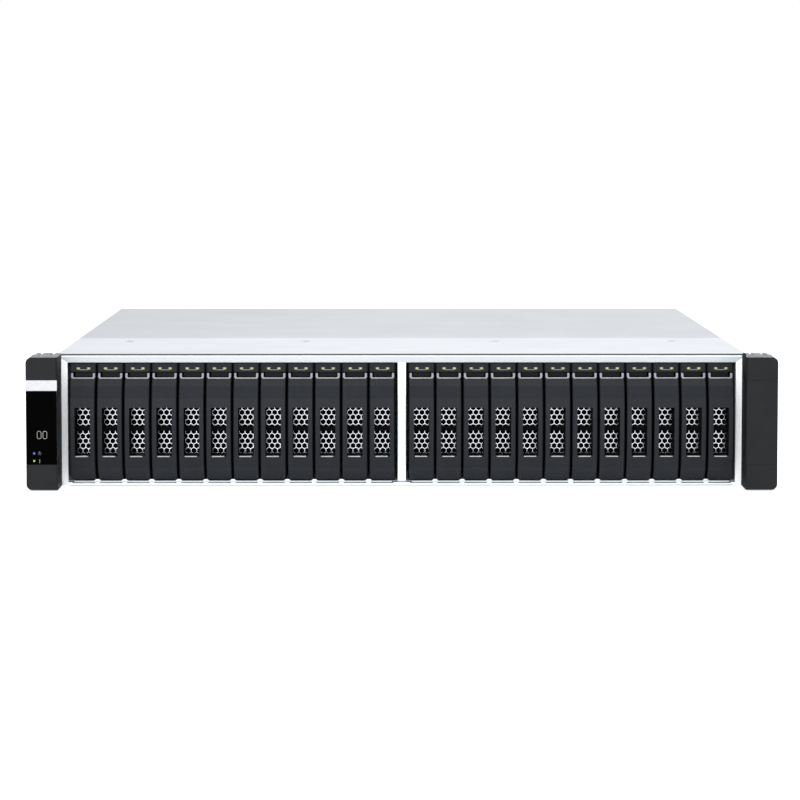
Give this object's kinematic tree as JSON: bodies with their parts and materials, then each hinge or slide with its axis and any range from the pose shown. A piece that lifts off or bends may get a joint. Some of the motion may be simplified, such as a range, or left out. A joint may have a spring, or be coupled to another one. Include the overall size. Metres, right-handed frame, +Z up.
{
  "type": "rack storage server",
  "caption": "Two-unit rack storage server with slim swing-handle drive trays, rack ears, sliding lid and plug-in power supplies.",
  "frame": {"origin": "bottom centre of the whole object", "axes": "+X to the right seen from the front, +Y from the front to the rear, +Z up"},
  "size_m": [0.4826, 0.5824, 0.0868],
  "materials": {
    "pan_steel": "zinc-coated sheet",
    "frame_steel": "satin, cool white",
    "cover_steel": "satin, light",
    "lid_steel": "satin, light grey",
    "ear_plastic": "fine grain, dark grey",
    "panel_gloss": "glossy black",
    "tray_plastic": "fine grain, near black",
    "handle_plastic": "satin, near black",
    "board_green": "solder mask",
    "fan_plastic": "moulded black",
    "supply_metal": "plain sheet"
  },
  "bodies": {
    "chassis": {"base_pan": "pan_steel", "drive_cage": "frame_steel", "front_cover": "cover_steel", "left_ear": "ear_plastic", "right_ear": "ear_plastic", "control_panel": "panel_gloss", "backplane": "board_green", "fan_wall": "fan_plastic", "system_board": "board_green"},
    "lid": {"rear_cover": "lid_steel"},
    "supply_1": {"power_supply_1": "supply_metal"},
    "supply_2": {"power_supply_2": "supply_metal"},
    "tray_01": {"drive_tray_01": "tray_plastic"},
    "handle_01": {"tray_handle_01": "handle_plastic"},
    "tray_02": {"drive_tray_02": "tray_plastic"},
    "handle_02": {"tray_handle_02": "handle_plastic"},
    "tray_03": {"drive_tray_03": "tray_plastic"},
    "handle_03": {"tray_handle_03": "handle_plastic"},
    "tray_04": {"drive_tray_04": "tray_plastic"},
    "handle_04": {"tray_handle_04": "handle_plastic"},
    "tray_05": {"drive_tray_05": "tray_plastic"},
    "handle_05": {"tray_handle_05": "handle_plastic"},
    "tray_06": {"drive_tray_06": "tray_plastic"},
    "handle_06": {"tray_handle_06": "handle_plastic"},
    "tray_07": {"drive_tray_07": "tray_plastic"},
    "handle_07": {"tray_handle_07": "handle_plastic"},
    "tray_08": {"drive_tray_08": "tray_plastic"},
    "handle_08": {"tray_handle_08": "handle_plastic"},
    "tray_09": {"drive_tray_09": "tray_plastic"},
    "handle_09": {"tray_handle_09": "handle_plastic"},
    "tray_10": {"drive_tray_10": "tray_plastic"},
    "handle_10": {"tray_handle_10": "handle_plastic"},
    "tray_11": {"drive_tray_11": "tray_plastic"},
    "handle_11": {"tray_handle_11": "handle_plastic"},
    "tray_12": {"drive_tray_12": "tray_plastic"},
    "handle_12": {"tray_handle_12": "handle_plastic"},
    "tray_13": {"drive_tray_13": "tray_plastic"},
    "handle_13": {"tray_handle_13": "handle_plastic"},
    "tray_14": {"drive_tray_14": "tray_plastic"},
    "handle_14": {"tray_handle_14": "handle_plastic"},
    "tray_15": {"drive_tray_15": "tray_plastic"},
    "handle_15": {"tray_handle_15": "handle_plastic"},
    "tray_16": {"drive_tray_16": "tray_plastic"},
    "handle_16": {"tray_handle_16": "handle_plastic"},
    "tray_17": {"drive_tray_17": "tray_plastic"},
    "handle_17": {"tray_handle_17": "handle_plastic"},
    "tray_18": {"drive_tray_18": "tray_plastic"},
    "handle_18": {"tray_handle_18": "handle_plastic"},
    "tray_19": {"drive_tray_19": "tray_plastic"},
    "handle_19": {"tray_handle_19": "handle_plastic"},
    "tray_20": {"drive_tray_20": "tray_plastic"},
    "handle_20": {"tray_handle_20": "handle_plastic"},
    "tray_21": {"drive_tray_21": "tray_plastic"},
    "handle_21": {"tray_handle_21": "handle_plastic"},
    "tray_22": {"drive_tray_22": "tray_plastic"},
    "handle_22": {"tray_handle_22": "handle_plastic"},
    "tray_23": {"drive_tray_23": "tray_plastic"},
    "handle_23": {"tray_handle_23": "handle_plastic"},
    "tray_24": {"drive_tray_24": "tray_plastic"},
    "handle_24": {"tray_handle_24": "handle_plastic"}
  },
  "joints": [
    {"name": "lid_slide", "type": "slide", "parent": "chassis", "child": "lid", "axis": [0, 1, 0], "range_m": [0, 0.38]},
    {"name": "supply_1_slide", "type": "slide", "parent": "chassis", "child": "supply_1", "axis": [0, 1, 0], "range_m": [0, 0.205]},
    {"name": "supply_2_slide", "type": "slide", "parent": "chassis", "child": "supply_2", "axis": [0, 1, 0], "range_m": [0, 0.205]},
    {"name": "tray_01_slide", "type": "slide", "parent": "chassis", "child": "tray_01", "axis": [0, -1, 0], "range_m": [0, 0.13]},
    {"name": "handle_01_hinge", "type": "hinge", "parent": "tray_01", "child": "handle_01", "pos_m": [-0.20697, -0.25845, 0.0082], "axis": [1, 0, 0], "range_deg": [0, 55]},
    {"name": "tray_02_slide", "type": "slide", "parent": "chassis", "child": "tray_02", "axis": [0, -1, 0], "range_m": [0, 0.13]},
    {"name": "handle_02_hinge", "type": "hinge", "parent": "tray_02", "child": "handle_02", "pos_m": [-0.18932, -0.25845, 0.0082], "axis": [1, 0, 0], "range_deg": [0, 55]},
    {"name": "tray_03_slide", "type": "slide", "parent": "chassis", "child": "tray_03", "axis": [0, -1, 0], "range_m": [0, 0.13]},
    {"name": "handle_03_hinge", "type": "hinge", "parent": "tray_03", "child": "handle_03", "pos_m": [-0.17167, -0.25845, 0.0082], "axis": [1, 0, 0], "range_deg": [0, 55]},
    {"name": "tray_04_slide", "type": "slide", "parent": "chassis", "child": "tray_04", "axis": [0, -1, 0], "range_m": [0, 0.13]},
    {"name": "handle_04_hinge", "type": "hinge", "parent": "tray_04", "child": "handle_04", "pos_m": [-0.15402, -0.25845, 0.0082], "axis": [1, 0, 0], "range_deg": [0, 55]},
    {"name": "tray_05_slide", "type": "slide", "parent": "chassis", "child": "tray_05", "axis": [0, -1, 0], "range_m": [0, 0.13]},
    {"name": "handle_05_hinge", "type": "hinge", "parent": "tray_05", "child": "handle_05", "pos_m": [-0.13637, -0.25845, 0.0082], "axis": [1, 0, 0], "range_deg": [0, 55]},
    {"name": "tray_06_slide", "type": "slide", "parent": "chassis", "child": "tray_06", "axis": [0, -1, 0], "range_m": [0, 0.13]},
    {"name": "handle_06_hinge", "type": "hinge", "parent": "tray_06", "child": "handle_06", "pos_m": [-0.11872, -0.25845, 0.0082], "axis": [1, 0, 0], "range_deg": [0, 55]},
    {"name": "tray_07_slide", "type": "slide", "parent": "chassis", "child": "tray_07", "axis": [0, -1, 0], "range_m": [0, 0.13]},
    {"name": "handle_07_hinge", "type": "hinge", "parent": "tray_07", "child": "handle_07", "pos_m": [-0.10107, -0.25845, 0.0082], "axis": [1, 0, 0], "range_deg": [0, 55]},
    {"name": "tray_08_slide", "type": "slide", "parent": "chassis", "child": "tray_08", "axis": [0, -1, 0], "range_m": [0, 0.13]},
    {"name": "handle_08_hinge", "type": "hinge", "parent": "tray_08", "child": "handle_08", "pos_m": [-0.08342, -0.25845, 0.0082], "axis": [1, 0, 0], "range_deg": [0, 55]},
    {"name": "tray_09_slide", "type": "slide", "parent": "chassis", "child": "tray_09", "axis": [0, -1, 0], "range_m": [0, 0.13]},
    {"name": "handle_09_hinge", "type": "hinge", "parent": "tray_09", "child": "handle_09", "pos_m": [-0.06578, -0.25845, 0.0082], "axis": [1, 0, 0], "range_deg": [0, 55]},
    {"name": "tray_10_slide", "type": "slide", "parent": "chassis", "child": "tray_10", "axis": [0, -1, 0], "range_m": [0, 0.13]},
    {"name": "handle_10_hinge", "type": "hinge", "parent": "tray_10", "child": "handle_10", "pos_m": [-0.04813, -0.25845, 0.0082], "axis": [1, 0, 0], "range_deg": [0, 55]},
    {"name": "tray_11_slide", "type": "slide", "parent": "chassis", "child": "tray_11", "axis": [0, -1, 0], "range_m": [0, 0.13]},
    {"name": "handle_11_hinge", "type": "hinge", "parent": "tray_11", "child": "handle_11", "pos_m": [-0.03047, -0.25845, 0.0082], "axis": [1, 0, 0], "range_deg": [0, 55]},
    {"name": "tray_12_slide", "type": "slide", "parent": "chassis", "child": "tray_12", "axis": [0, -1, 0], "range_m": [0, 0.13]},
    {"name": "handle_12_hinge", "type": "hinge", "parent": "tray_12", "child": "handle_12", "pos_m": [-0.01282, -0.25845, 0.0082], "axis": [1, 0, 0], "range_deg": [0, 55]},
    {"name": "tray_13_slide", "type": "slide", "parent": "chassis", "child": "tray_13", "axis": [0, -1, 0], "range_m": [0, 0.13]},
    {"name": "handle_13_hinge", "type": "hinge", "parent": "tray_13", "child": "handle_13", "pos_m": [0.01282, -0.25845, 0.0082], "axis": [1, 0, 0], "range_deg": [0, 55]},
    {"name": "tray_14_slide", "type": "slide", "parent": "chassis", "child": "tray_14", "axis": [0, -1, 0], "range_m": [0, 0.13]},
    {"name": "handle_14_hinge", "type": "hinge", "parent": "tray_14", "child": "handle_14", "pos_m": [0.03047, -0.25845, 0.0082], "axis": [1, 0, 0], "range_deg": [0, 55]},
    {"name": "tray_15_slide", "type": "slide", "parent": "chassis", "child": "tray_15", "axis": [0, -1, 0], "range_m": [0, 0.13]},
    {"name": "handle_15_hinge", "type": "hinge", "parent": "tray_15", "child": "handle_15", "pos_m": [0.04813, -0.25845, 0.0082], "axis": [1, 0, 0], "range_deg": [0, 55]},
    {"name": "tray_16_slide", "type": "slide", "parent": "chassis", "child": "tray_16", "axis": [0, -1, 0], "range_m": [0, 0.13]},
    {"name": "handle_16_hinge", "type": "hinge", "parent": "tray_16", "child": "handle_16", "pos_m": [0.06578, -0.25845, 0.0082], "axis": [1, 0, 0], "range_deg": [0, 55]},
    {"name": "tray_17_slide", "type": "slide", "parent": "chassis", "child": "tray_17", "axis": [0, -1, 0], "range_m": [0, 0.13]},
    {"name": "handle_17_hinge", "type": "hinge", "parent": "tray_17", "child": "handle_17", "pos_m": [0.08342, -0.25845, 0.0082], "axis": [1, 0, 0], "range_deg": [0, 55]},
    {"name": "tray_18_slide", "type": "slide", "parent": "chassis", "child": "tray_18", "axis": [0, -1, 0], "range_m": [0, 0.13]},
    {"name": "handle_18_hinge", "type": "hinge", "parent": "tray_18", "child": "handle_18", "pos_m": [0.10107, -0.25845, 0.0082], "axis": [1, 0, 0], "range_deg": [0, 55]},
    {"name": "tray_19_slide", "type": "slide", "parent": "chassis", "child": "tray_19", "axis": [0, -1, 0], "range_m": [0, 0.13]},
    {"name": "handle_19_hinge", "type": "hinge", "parent": "tray_19", "child": "handle_19", "pos_m": [0.11872, -0.25845, 0.0082], "axis": [1, 0, 0], "range_deg": [0, 55]},
    {"name": "tray_20_slide", "type": "slide", "parent": "chassis", "child": "tray_20", "axis": [0, -1, 0], "range_m": [0, 0.13]},
    {"name": "handle_20_hinge", "type": "hinge", "parent": "tray_20", "child": "handle_20", "pos_m": [0.13637, -0.25845, 0.0082], "axis": [1, 0, 0], "range_deg": [0, 55]},
    {"name": "tray_21_slide", "type": "slide", "parent": "chassis", "child": "tray_21", "axis": [0, -1, 0], "range_m": [0, 0.13]},
    {"name": "handle_21_hinge", "type": "hinge", "parent": "tray_21", "child": "handle_21", "pos_m": [0.15402, -0.25845, 0.0082], "axis": [1, 0, 0], "range_deg": [0, 55]},
    {"name": "tray_22_slide", "type": "slide", "parent": "chassis", "child": "tray_22", "axis": [0, -1, 0], "range_m": [0, 0.13]},
    {"name": "handle_22_hinge", "type": "hinge", "parent": "tray_22", "child": "handle_22", "pos_m": [0.17167, -0.25845, 0.0082], "axis": [1, 0, 0], "range_deg": [0, 55]},
    {"name": "tray_23_slide", "type": "slide", "parent": "chassis", "child": "tray_23", "axis": [0, -1, 0], "range_m": [0, 0.13]},
    {"name": "handle_23_hinge", "type": "hinge", "parent": "tray_23", "child": "handle_23", "pos_m": [0.18932, -0.25845, 0.0082], "axis": [1, 0, 0], "range_deg": [0, 55]},
    {"name": "tray_24_slide", "type": "slide", "parent": "chassis", "child": "tray_24", "axis": [0, -1, 0], "range_m": [0, 0.13]},
    {"name": "handle_24_hinge", "type": "hinge", "parent": "tray_24", "child": "handle_24", "pos_m": [0.20697, -0.25845, 0.0082], "axis": [1, 0, 0], "range_deg": [0, 55]}
  ]
}
